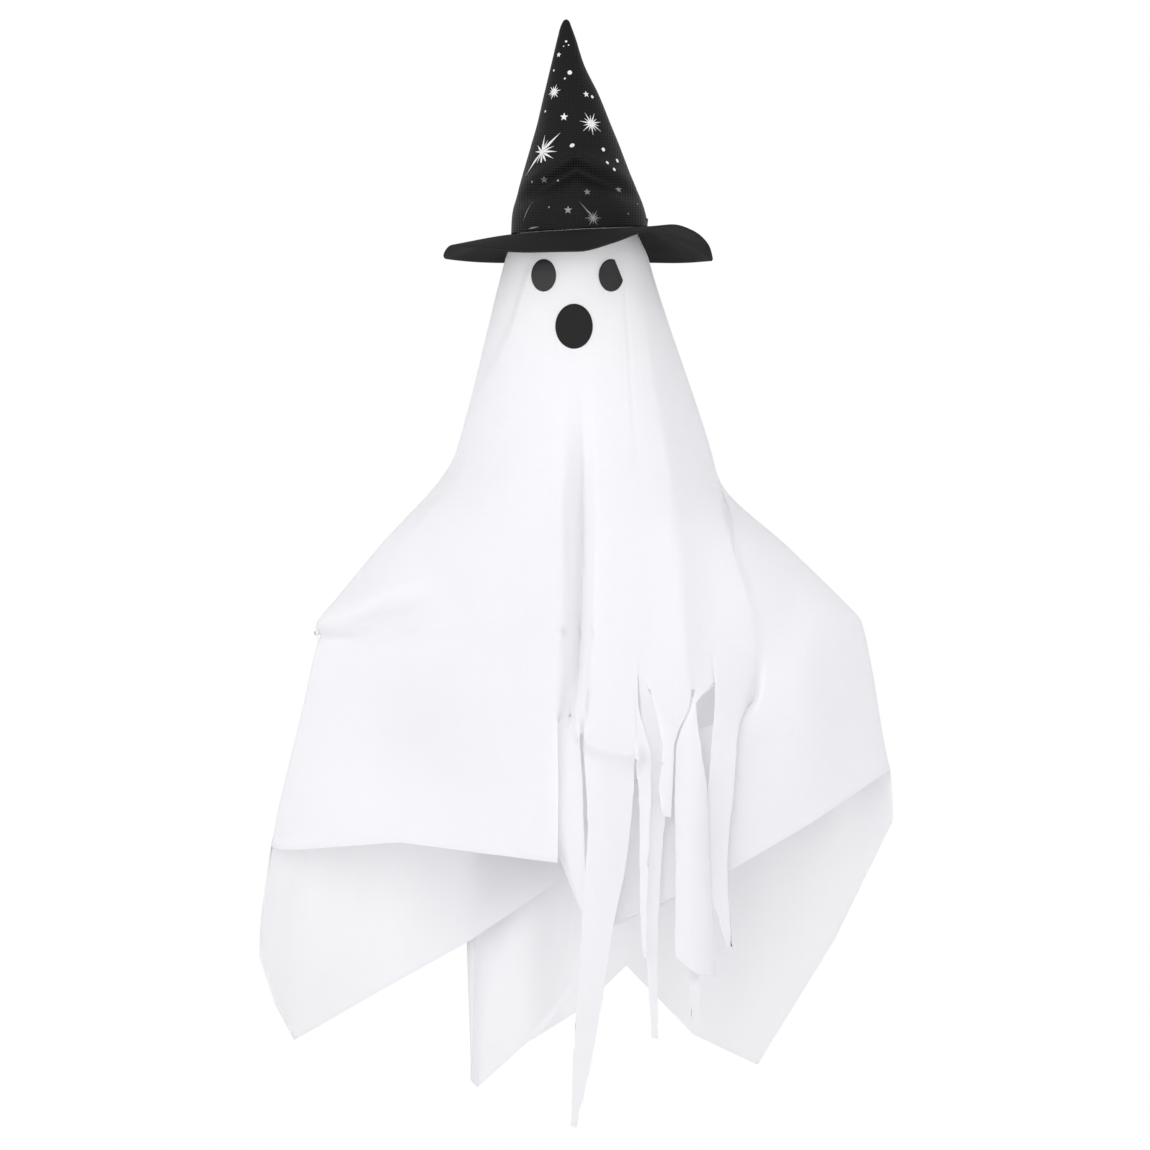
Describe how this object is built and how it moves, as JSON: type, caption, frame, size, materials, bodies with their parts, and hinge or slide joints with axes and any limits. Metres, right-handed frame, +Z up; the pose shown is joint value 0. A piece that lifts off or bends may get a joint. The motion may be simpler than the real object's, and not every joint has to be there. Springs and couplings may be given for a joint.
{
  "type": "hanging fabric ghost",
  "caption": "Hanging ghost of draped white cloth over a foam head and bent-wire arms, with felt eyes and mouth and a tall black pointed hat.",
  "frame": {"origin": "hang point at the tip of the hat", "axes": "+Z up along the ghost's height, the face looks along -Y, +X to the viewer's right"},
  "size_m": [0.5228, 0.2227, 0.912],
  "materials": {
    "cloth": "thin white woven cloth, matte",
    "foam": "white foam, matte",
    "wire": "white coated wire",
    "thread": "white thread",
    "eye_felt": "black felt with a slight sheen",
    "mouth_felt": "matte black felt",
    "hat_cloth": "thin black woven cloth with silver foil stars",
    "hat_felt": "black felt, matte"
  },
  "bodies": {
    "root": {"draped_cloth": "cloth", "head_form": "foam", "arm_wire": "wire", "wrist_knot": "thread", "eye_left": "eye_felt", "eye_right": "eye_felt", "mouth": "mouth_felt", "hat_cone": "hat_cloth", "hat_brim": "hat_felt"}
  },
  "joints": []
}
